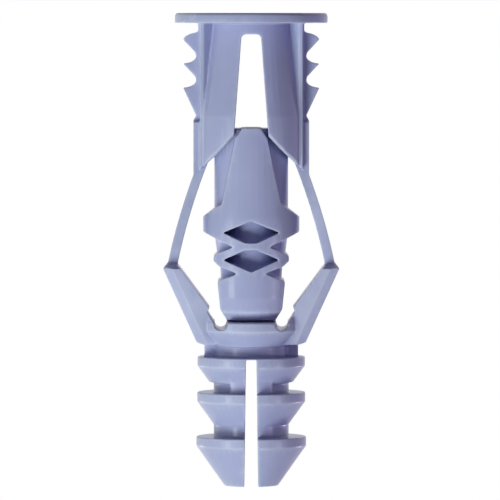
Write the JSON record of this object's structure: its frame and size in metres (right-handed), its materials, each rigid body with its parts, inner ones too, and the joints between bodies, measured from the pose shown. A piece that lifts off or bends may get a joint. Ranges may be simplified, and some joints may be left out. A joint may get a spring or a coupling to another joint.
{
  "type": "plastic drywall anchor",
  "caption": "Moulded plastic wall anchor: a flanged, toothed sleeve, two folding arms, a core that is drawn into the sleeve and a split, barbed tail.",
  "frame": {"origin": "centre of the flange's outer face, which the anchor stands on", "axes": "+Z along the screw axis from the flange to the tail; the two arms lie along X; the windows of the sleeve face along Y"},
  "size_m": [0.014, 0.0122, 0.0378],
  "materials": {
    "moulding": "satin moulded plastic, grey-blue"
  },
  "bodies": {
    "root": {"anchor": "moulding"}
  },
  "joints": []
}
